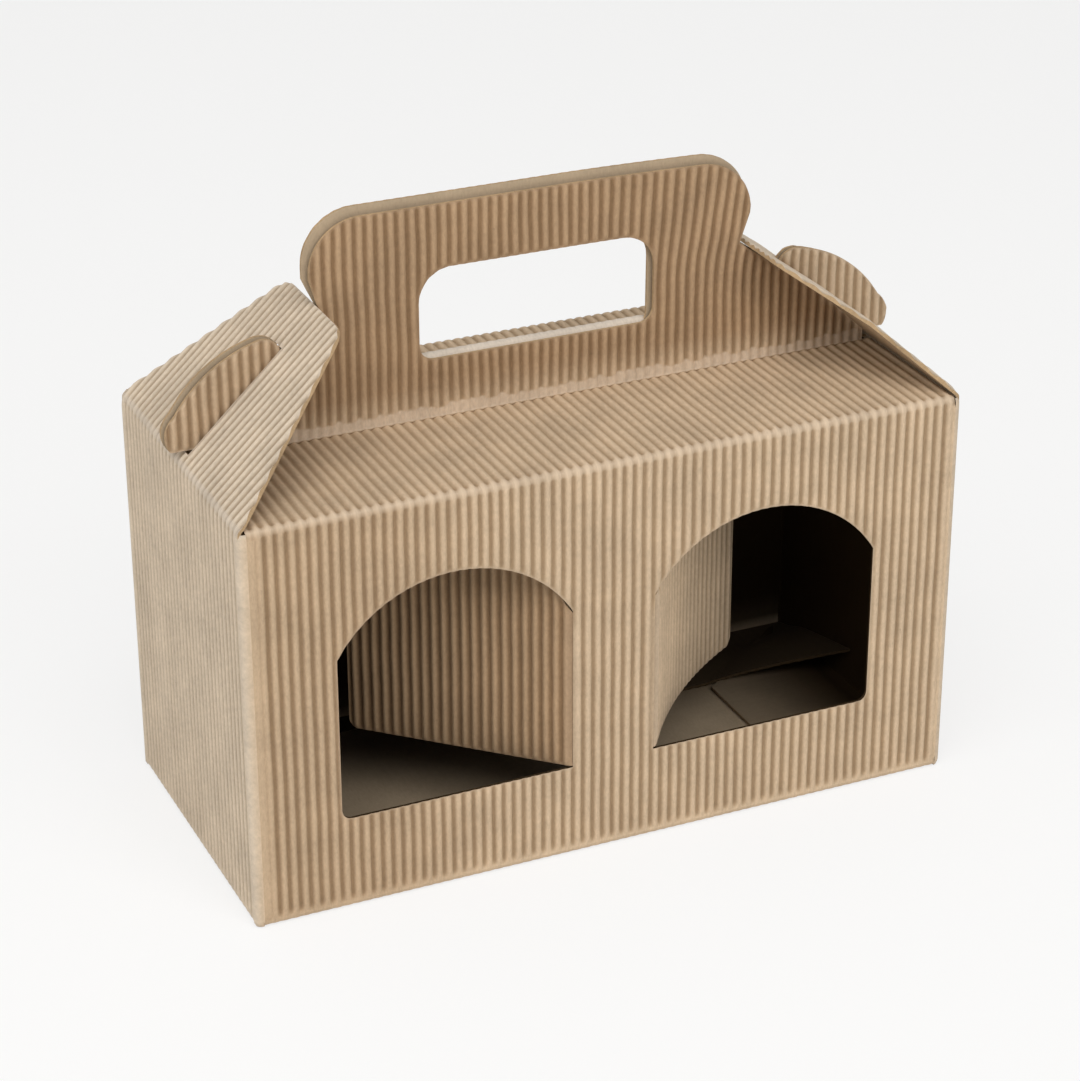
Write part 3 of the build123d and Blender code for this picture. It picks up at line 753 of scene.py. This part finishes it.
def side_board(sign, name):
    """Side strip below the end flap: floor flap, wall, and the two corners it turns round."""
    end = INNER_Y + INNER_X + LEFT_END if sign < 0 else INNER_Y + INNER_X - RIGHT_END
    u = columns(-end, end, FIRST_Y, [-WALL_HALF, WALL_HALF, FLAP_START, SLANT_START])
    n = len(u)
    wall = np.abs(u) < WALL_HALF
    if sign > 0:
        free = np.clip((u - SLANT_START) / SLANT_RUN, 0, None) * SLANT_RISE - RIGHT_REACH
    else:
        free = np.full(n, -LEFT_REACH)
    free = np.minimum(free, -2.5)
    rows = [np.where(wall, free, -1.25), np.where(wall, np.maximum(free, -6.2), -1.23)]
    rows += [np.where(wall, -2.4, -1.2), *level_rows(n, -0.5, 0.5, 3, SIDE_FOLD - 6)]
    rows.append(np.where(wall, SIDE_FOLD - HINGE, SIDE_FOLD - 0.3))
    counts = [5, 4, 3, 4, 3, 12, 6]
    v = levels(rows, counts)
    mid = (u[1:] + u[:-1]) / 2
    inside = np.abs(mid) < WALL_HALF
    flap = inside if sign > 0 else inside & (mid > FLAP_START)
    every = np.ones(n - 1, bool)
    keep = np.repeat(np.stack([flap, flap] + [every] * 5, 1), counts, axis=1)
    fine = [(-end, -41), (41, end)]
    round_corner = lambda a, b: (np.abs(a) > end - 0.01) & (b > -0.6)
    at_fold = lambda a, b: (np.abs(a) < WALL_HALF) & (b > SIDE_FOLD - HINGE - 0.01)
    joined = lambda a, b: round_corner(a, b) | at_fold(a, b)
    place = lambda a, b: side_line(a, b, sign)
    return board(name, u, v, keep, place, side_surface(7 + sign), fine, joined, side_inner_shade)


def flap_end(u):
    """Distance from the fold to the end flap's edge: slanted sides, round corners and a straight tip."""
    fall = (FLAP_LENGTH - 0.3) / (FLAP_HALF - FLAP_TIP)
    lean = np.arctan(fall)
    reach = FLAP_CORNER * np.tan(lean / 2)
    x = np.abs(u)
    straight = FLAP_LENGTH - (x - FLAP_TIP) * fall
    centre = FLAP_TIP - reach
    arc = FLAP_LENGTH - FLAP_CORNER + np.sqrt(np.clip(FLAP_CORNER**2 - (x - centre) ** 2, 0, None))
    in_arc = (x > centre) & (x < centre + FLAP_CORNER * np.sin(lean))
    return np.where(x <= centre, FLAP_LENGTH, np.where(in_arc, arc, straight))


def end_flap(sign, name, node):
    """End flap beyond its bending fold, with the slit for the handle's lobes."""
    slit_end, _ = SHAPES[sign]
    half = FLAP_HALF - (HINGE + 0.1) / FLAP_SLANT
    slits = [-SLIT_HALF, SLIT_HALF]
    u = columns(-half, half, FIRST_Y, slits)
    end = np.maximum(flap_end(u), HINGE + 0.02)
    share = [(d - HINGE) / (FLAP_LENGTH - HINGE) for d in (SLIT_ROOT, slit_end - 0.3)]
    rows = level_rows(len(u), HINGE) + [HINGE + (end - HINGE) * s for s in share]
    rows += [np.maximum(end - RIM, rows[-1]), end]
    counts = [3, 18, 6, 2]
    v = levels([SIDE_FOLD + r for r in rows], counts)
    mid = (u[1:] + u[:-1]) / 2
    every = np.ones(len(mid), bool)
    keep = np.repeat(np.stack([every, np.abs(mid) > SLIT_HALF, every, every], 1), counts, axis=1)
    place = lambda a, b: flap_line(a, b, sign)
    joined = lambda a, b: b < SIDE_FOLD + HINGE + 0.01
    piece = board(name, u, v, keep, place, side_surface(7 + sign), [(-20, -8), (8, 20)], joined, crush=0.4)
    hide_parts(node)
    return piece


def end_fold(sign, name):
    """Crushed strip of board that bends between a side wall and its end flap."""
    u = columns(-FLAP_HALF + 0.6, FLAP_HALF - 0.6, FIRST_Y, [])
    end = np.minimum(flap_end(u), HINGE)
    v = levels([*level_rows(len(u), SIDE_FOLD - HINGE), SIDE_FOLD + end], [12])
    joined = lambda a, b: np.abs(np.abs(b - SIDE_FOLD) - HINGE) < 0.01
    place = lambda a, b: flap_line(a, b, sign)
    piece = board(name, u, v, whole_sheet(v), place, side_surface(7 + sign), (), joined)
    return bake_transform(piece)


def window_line(u, v, first, last, sign):
    """Window flap seen from above: it turns in at the pier, and its turn changes evenly to its tip."""
    first, last = np.radians([first, last])
    reach = 0.9  # end of the bending fold
    steps = np.linspace(-3, WINDOW_LENGTH + 1, 1600)
    bend = smooth_step((steps + 0.2) / (reach + 0.2)) * first
    curl = first + (last - first) * (steps - reach) / (WINDOW_LENGTH - reach)
    turn = np.where(steps < reach, bend, curl)
    gap = np.diff(steps, prepend=steps[0] - (steps[1] - steps[0]))
    line = np.cumsum(gap * -np.exp(-1j * turn))
    line = line - np.interp(0, steps, line.real) - 1j * np.interp(0, steps, line.imag)
    place = np.interp(u, steps, line.real) + 1j * np.interp(u, steps, line.imag)
    facing = -np.exp(-1j * np.interp(u, steps, turn))
    out = 1j * facing
    inner = place - out * LINER / 2 + (-PIER + 1j * WINDOW_FOLD)
    points = np.stack([-sign * inner.real, inner.imag, v], -1)
    return points, np.stack([-sign * out.real, out.imag, np.zeros_like(u)], -1)


def window_surface(seed, shadier):
    """Ridges of a window flap, which start in a valley at its fold and are crushed there; the left flap
    carries painted shade, darker towards its tip and top.
    """

    def surface(u, v):
        stray = waver(u, v, seed) * bpy.context.scene.kraft.waver_mm
        ridge = ridges(u + stray * smooth_step(u / 4), 0.0) * ridge_strength(u, 0.0, seed)
        fold = near(u, 0.4, 1.5)
        # painted shade: added darkness towards the flap's tip and top
        extra_shade = 0.6 * smooth_step((u - 6) / 45) + 0.4 * smooth_step((v - 55) / 25)
        return crushed(ridge, 0.4 * fold, 0.35), 0.5 * fold, -1 - extra_shade if shadier else 0.0

    return surface


def window_rows(u):
    """Lower and upper edge of a window flap at each distance from its fold."""
    length, corner = WINDOW_LENGTH, WINDOW_CORNER
    low, spring, top = WINDOW_LOW + FLAP_GAP, WINDOW_SPRING - FLAP_GAP, WINDOW_TOP - FLAP_GAP
    inward = np.clip(u - length + corner, 0, corner)
    rise = top - spring
    radius = (length**2 / 4 + rise**2) / (2 * rise)
    return low + fall_back(corner, inward), np.maximum(top - fall_back(radius, u - length / 2), spring)


def window_levels(u):
    """Rows of a window flap: short ones beside its two edges and even ones between."""
    bottom, top = window_rows(u)
    return levels([bottom, bottom + RIM, top - RIM, top], [2, 20, 2])


def window_piece(name, sign, u, joined, fine):
    """Board of a window over the columns u, pushed in at the pier."""
    v = window_levels(u)
    place = lambda a, b: window_line(a, b, *WINDOW_TURNS[sign], sign)
    return board(name, u, v, whole_sheet(v), place, window_surface(12 + sign, sign < 0), fine, joined)


def window_flap(sign, name, node):
    """Board of one window beyond its bending fold."""
    u = columns(PITCH / 2, WINDOW_LENGTH, 0.0, corner_steps(WINDOW_LENGTH, WINDOW_CORNER, -1))
    joined = lambda a, b: a < PITCH / 2 + 0.01
    piece = window_piece(name, sign, u, joined, [(WINDOW_LENGTH - 4, WINDOW_LENGTH)])
    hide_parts(node)
    return piece


def window_fold(sign, name):
    """Strip of board that bends between the pier and a window flap."""
    joined = lambda a, b: (a < 0.01) | (a > PITCH / 2 - 0.01)
    piece = window_piece(name, sign, columns(0.0, PITCH / 2, 0.0, []), joined, [(0, 2)])
    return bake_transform(piece)


def tongue():
    """Board of the hand hole: it goes on up the front panel, folds back over both sills and hangs down."""
    tilt, middle = TONGUE_TILT, FRONT_HANDLE[0]
    front_y = HANDLE_Y - BOARD
    back_y = front_y + TONGUE_DEPTH * np.cos(tilt) - BOARD
    flat = SILL - BOARD * np.cos(tilt) - BOARD * np.sin(tilt) * np.tan(tilt)
    base = SILL - TONGUE_ROOT
    first = flat + (HANDLE_Y - front_y) * np.tan(tilt) - base
    second = first + (back_y - HANDLE_Y) / np.cos(tilt)
    bottom = SILL + TONGUE_DEPTH * np.sin(tilt) - TONGUE_DROP
    end = second + flat + (back_y - front_y) * np.tan(tilt) - bottom
    half = HOLE_HALF - SLIT_GAP
    left, right = middle - half, middle + half
    radius = HOLE_UPPER_R - SLIT_GAP
    extra = [*corner_steps(left, radius, 1), *corner_steps(right, radius, -1)]
    u = columns(left, right, FIRST_X, extra)
    inward = np.clip(np.abs(u - middle) - half + radius, 0, radius)
    tip = end - fall_back(radius, inward)
    v = levels([*level_rows(len(u), 0, second - 1.2, second + 2), tip - RIM, tip], [14, 10, 5, 2])
    corners = [(first, -(np.pi / 2 - tilt), 0.5), (second, -(np.pi / 2 + tilt), 0.5)]

    def place(a, b):
        line, facing = strip_path(HANDLE_Y + 1j * base, 1j, corners, b)
        return along_x(a, line, facing)

    def surface(a, b):
        ridge = ridges(a + waver(a, b + base, 3) * bpy.context.scene.kraft.waver_mm, FIRST_X)
        press = near(b, first, 1.2) + near(b, second, 1.4)
        ridge = crushed(ridge * ridge_strength(a, FIRST_X, 3), 0.86, 0.7)
        # The tongue's pressed share is partly crushed paper and partly painted light; its full paler tint is
        # painted light.
        return ridge * smooth_step((b - 0.5) / 1.4), 0.6 + 0.3 * press, 1.0

    fine = [(left, left + 8), (right - 8, right)]
    return board("tongue_board", u, v, whole_sheet(v), place, surface, fine, lambda a, b: b < 0.01)


def add_node(tree, kind, inputs=None, **settings):
    """A node with its settings, and its inputs given as values or as the sockets that feed them."""
    node = tree.nodes.new(kind)
    for key, value in settings.items():
        setattr(node, key, value)
    for key, value in (inputs or {}).items():
        if isinstance(value, bpy.types.NodeSocket):
            tree.links.new(value, node.inputs[key])
        else:
            node.inputs[key].default_value = value
    return node


def colour(rgb):
    """A colour socket's value."""
    return (*rgb, 1.0)


def new_tree(name, roughness):
    """Tree of a new material, its paper shader, the board's own coordinates in metres, and the settings."""
    material = bpy.data.materials.new(name)
    material.use_nodes = True
    tree = material.node_tree
    tree.nodes.clear()
    shader = add_node(tree, "ShaderNodeBsdfPrincipled", {"Roughness": roughness, "Specular IOR Level": 0.25})
    out = add_node(tree, "ShaderNodeOutputMaterial", {"Surface": shader.outputs["BSDF"]})
    out.is_active_output = True
    sheet = add_node(tree, "ShaderNodeAttribute", attribute_name="sheet").outputs["Vector"]
    return tree, shader, sheet, bpy.context.scene.kraft


def layered(tree, base, layers):
    """A colour with others laid over it in turn, each by its share."""
    for share, other in layers:
        inputs = {0: share, 6: base, 7: colour(other)}
        base = add_node(tree, "ShaderNodeMix", inputs, data_type="RGBA").outputs[2]
    return base


def fibres(tree, sheet, base, amount):
    """Kraft pulp seen close: soft clouds, short flecks and a few darker specks over a base colour."""
    fine = 1000 / bpy.context.scene.kraft.fibre_mm
    kind = "ShaderNodeTexNoise"
    cloud = add_node(tree, kind, {"Vector": sheet, "Scale": 70, "Detail": 4, "Roughness": 0.6})
    stretched = add_node(tree, "ShaderNodeMapping", {"Vector": sheet, "Scale": (1.0, 0.35, 1.0)})
    grain = {"Vector": stretched.outputs["Vector"], "Scale": fine, "Detail": 3, "Roughness": 0.7}
    fleck = add_node(tree, kind, grain)
    speck = add_node(tree, kind, {"Vector": sheet, "Scale": fine * 0.55, "Detail": 2})
    total = 0.0
    for noise, low, high, least, most in (
        (cloud, 0.3, 0.7, -0.5, 0.5),
        (fleck, 0.3, 0.7, -0.5, 0.5),
        (speck, 0.66, 0.8, 0.0, -0.6),
    ):
        limits = {0: noise.outputs["Fac"], 1: low, 2: high, 3: least, 4: most}
        part = add_node(tree, "ShaderNodeMapRange", limits)
        total = add_node(tree, "ShaderNodeMath", {0: total, 1: part.outputs[0]}, operation="ADD").outputs[0]
    shift = add_node(tree, "ShaderNodeMath", {0: total, 1: amount, 2: 1.0}, operation="MULTIPLY_ADD")
    hue = add_node(tree, "ShaderNodeHueSaturation", {"Color": base, "Value": shift.outputs[0]})
    return hue.outputs["Color"], fleck.outputs["Fac"]


def finish_paper(tree, shader, shown, height, strength, distance):
    """The paper's colour and its fine relief go to the shader."""
    tree.links.new(shown, shader.inputs["Base Color"])
    bump = add_node(tree, "ShaderNodeBump", {"Height": height, "Strength": strength, "Distance": distance})
    tree.links.new(bump.outputs["Normal"], shader.inputs["Normal"])


def fluted_kraft():
    """Brown kraft paper pressed into flutes: paler crests and darker valleys as painted light and shade,
    chalky where crushed, with painted shade in the handle's fold and painted light and shade tints by panel.
    """
    tree, shader, sheet, looks = new_tree("fluted kraft paper", 0.86)
    keys = ("rise", "pressed", "painted_tone")
    rise, press, painted_tone = (
        add_node(tree, "ShaderNodeAttribute", attribute_name=key).outputs["Fac"] for key in keys
    )
    ranges = "ShaderNodeMapRange"
    # painted light and shade: crest colour by ridge height, valley colour below
    level = add_node(tree, ranges, {0: rise, 1: 0.05, 2: 0.85}, interpolation_type="SMOOTHSTEP").outputs[0]
    chalk = add_node(tree, ranges, {0: press, 1: 0.15, 2: 0.95, 3: 0.0, 4: 0.8}).outputs[0]
    # painted shade in the fold at the handle's foot, where the pressed value is below 0
    crease_shade = add_node(tree, ranges, {0: press, 1: -0.1, 2: -0.9, 3: 0.0, 4: 0.85}).outputs[0]
    layers = ((level, looks.crest), (chalk, looks.pressed), (crease_shade, looks.crease_shade))
    paper = layered(tree, colour(looks.valley), layers)
    minus = {0: painted_tone, 1: -1.0}
    shade_share = add_node(tree, "ShaderNodeMath", minus, operation="MULTIPLY", use_clamp=True).outputs[0]
    # painted shade: share of the deeper shade tint, for values from -1 to -2
    shade = add_node(tree, ranges, {0: painted_tone, 1: -1.0, 2: -2.0}).outputs[0]
    # painted light and shade: tints laid over the paper by the value of each panel
    tint = layered(tree, (1, 1, 1, 1), ((shade_share, looks.shade_tint), (shade, looks.deep_shade_tint), (painted_tone, looks.pale)))
    inputs = {0: 1.0, 6: paper, 7: tint}
    both = add_node(tree, "ShaderNodeMix", inputs, data_type="RGBA", blend_type="MULTIPLY")
    shown, fleck = fibres(tree, sheet, both.outputs[2], 0.21)
    finish_paper(tree, shader, shown, fleck, 0.25, 0.00006)


def smooth_liner():
    """Flat brown liner with the glue lines of the flutes just showing through, matt with a slight sheen,
    darkened within the carton by painted shade.
    """
    tree, shader, sheet, looks = new_tree("smooth kraft liner", 0.78)
    inside = add_node(tree, "ShaderNodeAttribute", attribute_name="indoor_shade").outputs["Fac"]
    shown, fleck = fibres(tree, sheet, layered(tree, colour(looks.smooth), [(inside, looks.inside)]), 0.14)
    across = add_node(tree, "ShaderNodeSeparateXYZ", {0: sheet}).outputs[0]
    turn = add_node(tree, "ShaderNodeMath", {0: across, 1: 2000 * np.pi / PITCH}, operation="MULTIPLY")
    wave = add_node(tree, "ShaderNodeMath", {0: turn.outputs[0]}, operation="SINE")
    both = add_node(tree, "ShaderNodeMath", {0: wave.outputs[0], 1: 0.5, 2: fleck}, operation="MULTIPLY_ADD")
    finish_paper(tree, shader, shown, both.outputs[0], 0.3, 0.00005)


def cut_board():
    """Raw die-cut edge: pale torn pulp, rougher than the faces, darkened within the carton by painted shade.
    """
    tree, shader, sheet, looks = new_tree("die-cut board edge", 0.95)
    inside = add_node(tree, "ShaderNodeAttribute", attribute_name="indoor_shade").outputs["Fac"]
    shown, _ = fibres(tree, sheet, layered(tree, colour(looks.cut), [(inside, looks.inside)]), 0.3)
    tree.links.new(shown, shader.inputs["Base Color"])


def board_materials():
    """The board's three finishes: flutes, liner and cut edge, made once."""
    names = ("fluted kraft paper", "smooth kraft liner", "die-cut board edge")
    if names[0] not in bpy.data.materials:
        fluted_kraft()
        smooth_liner()
        cut_board()
    return [bpy.data.materials[n] for n in names]


def ride(piece, body):
    """The piece moves with a body."""
    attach(piece, body)


class CARTON_OT_long_boards(Operator):
    """Builds the front and rear strips with their floor flaps, roof and handle panels"""

    bl_idname = "carton.long_boards"
    bl_label = "Front and rear boards"

    def execute(self, context):
        ride(front_board(), "carton")
        ride(rear_board(), "carton")
        ride(tongue(), "carton")
        return {"FINISHED"}


class CARTON_OT_side_boards(Operator):
    """Builds both side walls with their floor flaps and turned corners"""

    bl_idname = "carton.side_boards"
    bl_label = "Side boards"

    def execute(self, context):
        ride(side_board(-1, "left_board"), "carton")
        ride(side_board(1, "right_board"), "carton")
        return {"FINISHED"}


class CARTON_OT_end_flaps(Operator):
    """Builds both end flaps and the crushed folds they turn on"""

    bl_idname = "carton.end_flaps"
    bl_label = "End flaps"

    def execute(self, context):
        for sign, side in ((-1, "left"), (1, "right")):
            node = f"{side}_end_flap"
            ride(end_flap(sign, f"{side}_end_board", node), node)
            end_fold(sign, f"{side}_end_fold")
        return {"FINISHED"}


class CARTON_OT_window_flaps(Operator):
    """Builds the boards pushed in from the windows, the left one flat and the right one curled"""

    bl_idname = "carton.window_flaps"
    bl_label = "Window flaps"

    def execute(self, context):
        for sign, side in ((-1, "left"), (1, "right")):
            node = f"{side}_window_flap"
            ride(window_flap(sign, f"{side}_window_board", node), node)
            window_fold(sign, f"{side}_window_fold")
        return {"FINISHED"}


def plain_material(name, rgb):
    """Matt painted board for the stage, pale also to reflections."""
    material = bpy.data.materials.new(name)
    material.use_nodes = True
    tree = material.node_tree
    tree.nodes.clear()
    noise = add_node(tree, "ShaderNodeTexNoise", {"Scale": 3.0, "Detail": 2})
    tint = add_node(tree, "ShaderNodeMapRange", {0: noise.outputs["Fac"], 3: 0.985, 4: 1.0})
    base = add_node(tree, "ShaderNodeHueSaturation", {"Color": colour(rgb), "Value": tint.outputs[0]})
    paint_inputs = {"Base Color": base.outputs["Color"], "Roughness": 0.9}
    shader = add_node(tree, "ShaderNodeBsdfPrincipled", paint_inputs).outputs[0]
    white = add_node(tree, "ShaderNodeEmission", {"Color": (1, 1, 1, 1), "Strength": 1.0}).outputs[0]
    camera = add_node(tree, "ShaderNodeLightPath").outputs["Is Camera Ray"]
    share = add_node(tree, "ShaderNodeMath", {0: camera, 1: 0.72}, operation="MULTIPLY").outputs[0]
    seen = add_node(tree, "ShaderNodeMixShader", {0: share, 1: shader, 2: white})
    add_node(tree, "ShaderNodeOutputMaterial", {"Surface": seen.outputs[0]})
    return material


def lamp(name, place, target, size, power):
    """Square soft lamp at a place, facing a target, all in metres."""
    data = bpy.data.lights.new(name, "AREA")
    data.shape = "SQUARE"
    data.size = size
    data.energy = power
    light = bpy.data.objects.new(name, data)
    bpy.context.scene.collection.objects.link(light)
    light.location = place
    light.rotation_mode = "QUATERNION"
    light.rotation_quaternion = (Vector(target) - Vector(place)).to_track_quat("-Z", "Y")


class CARTON_OT_stage(Operator):
    """Makes the pale floor and backdrop, the soft lamps, the sky and the camera"""

    bl_idname = "carton.stage"
    bl_label = "Stage"

    def execute(self, context):
        stage = context.scene.stage
        floor_and_backdrop(stage)
        lamp("key_lamp", (-0.35, -0.72, 1.25), (0, 0, 0.07), 1.1, stage.key_w)
        lamp("fill_lamp", (-1.2, -0.15, 0.6), (0, 0, 0.07), 0.9, stage.fill_w)
        lamp("front_lamp", (0.35, -1.1, 0.85), (0, 0, 0.06), 0.6, stage.front_w)
        world = bpy.data.worlds.new("even sky")
        context.scene.world = world
        world.use_nodes = True
        tree = world.node_tree
        tree.nodes.clear()
        sky = add_node(tree, "ShaderNodeBackground", {"Color": (1, 1, 1, 1), "Strength": stage.sky})
        white = add_node(tree, "ShaderNodeBackground", {"Color": (1, 1, 1, 1), "Strength": 1.0})
        rays = add_node(tree, "ShaderNodeLightPath").outputs
        either = {0: rays["Is Camera Ray"], 1: rays["Is Glossy Ray"]}
        seen = add_node(tree, "ShaderNodeMath", either, operation="MAXIMUM")
        inputs = {0: seen.outputs[0], 1: sky.outputs[0], 2: white.outputs[0]}
        mix = add_node(tree, "ShaderNodeMixShader", inputs)
        add_node(tree, "ShaderNodeOutputWorld", {"Surface": mix.outputs[0]})
        photo_camera()
        return {"FINISHED"}


def floor_and_backdrop(stage):
    """Floor that curves up into a backdrop: a profile of a flat run, a quarter circle and an upright run."""
    turn = np.radians(np.linspace(0, 90, 25))
    curve = np.stack([1.6 + 0.8 * np.sin(turn), 0.8 - 0.8 * np.cos(turn)], -1)
    profile = np.concatenate([[[-2.5, 0]], curve, [[2.4, 3]]])
    profile[:, 1] -= 0.0002
    across = np.linspace(-4, 4, 9)
    grid = np.stack(np.broadcast_arrays(across[:, None], profile[None, :, 0], profile[None, :, 1]), -1)
    rows = len(profile)
    corner = (np.arange(8)[:, None] * rows + np.arange(rows - 1)[None, :]).ravel()
    faces = np.stack([corner, corner + rows, corner + rows + 1, corner + 1], -1).tolist()
    material = plain_material("pale stage board", stage.floor)
    shade = np.ones(len(faces), bool)
    piece = put_mesh("floor", grid.reshape(-1, 3) * 1000, faces, np.zeros(len(faces)), shade, {}, [material])


def photo_camera():
    """Camera at the photograph's angle, looking near the middle of the box."""
    level = np.array([np.cos(PHOTO_AZIMUTH), np.sin(PHOTO_AZIMUTH), 0])
    away = np.array([np.sin(PHOTO_AZIMUTH), -np.cos(PHOTO_AZIMUTH), 0])
    back = away * np.cos(PHOTO_ELEVATION) + np.array([0, 0, np.sin(PHOTO_ELEVATION)])
    right = np.cos(PHOTO_ROLL) * level + np.sin(PHOTO_ROLL) * np.cross(back, level)
    up = np.cross(back, right)
    target = np.array([0, 0, HEIGHT / 2 * 0.001]) + PHOTO_SHIFT[0] * right + PHOTO_SHIFT[1] * up
    data = bpy.data.cameras.new("photo_camera")
    data.sensor_width = 36.0
    data.lens = data.sensor_width * PHOTO_FOCAL / PHOTO_WIDTH
    camera = bpy.data.objects.new("photo_camera", data)
    bpy.context.scene.collection.objects.link(camera)
    camera.location = Vector(target + back * PHOTO_AWAY)
    camera.rotation_euler = Matrix(np.column_stack([right, up, back])).to_euler()
    bpy.context.scene.camera = camera


STEPS = ("long_boards", "side_boards", "end_flaps", "window_flaps", "stage")


class CARTON_PT_panel(Panel):
    """Lists the carton's steps with their sizes and colours"""

    bl_idname = "CARTON_PT_panel"
    bl_label = "Jar carton"
    bl_space_type = "VIEW_3D"
    bl_region_type = "UI"
    bl_category = "Carton"

    def draw(self, context):
        for step in STEPS:
            self.layout.operator(f"carton.{step}")
        for group in (context.scene.kraft, context.scene.stage):
            for key in group.bl_rna.properties.keys():
                if key not in {"rna_type", "name"}:
                    self.layout.prop(group, key)


CLASSES = (
    KraftSettings,
    StageSettings,
    CARTON_OT_long_boards,
    CARTON_OT_side_boards,
    CARTON_OT_end_flaps,
    CARTON_OT_window_flaps,
    CARTON_OT_stage,
    CARTON_PT_panel,
)


def register():
    for cls in CLASSES:
        bpy.utils.register_class(cls)
    bpy.types.Scene.kraft = PointerProperty(type=KraftSettings)
    bpy.types.Scene.stage = PointerProperty(type=StageSettings)


def unregister():
    del bpy.types.Scene.kraft
    del bpy.types.Scene.stage
    for cls in reversed(CLASSES):
        bpy.utils.unregister_class(cls)


def main():
    register()
    bpy.context.scene.view_settings.view_transform = "Standard"
    for step in STEPS:
        getattr(bpy.ops.carton, step)()
    bpy.context.view_layer.update()


if __name__ == "__main__":
    main()
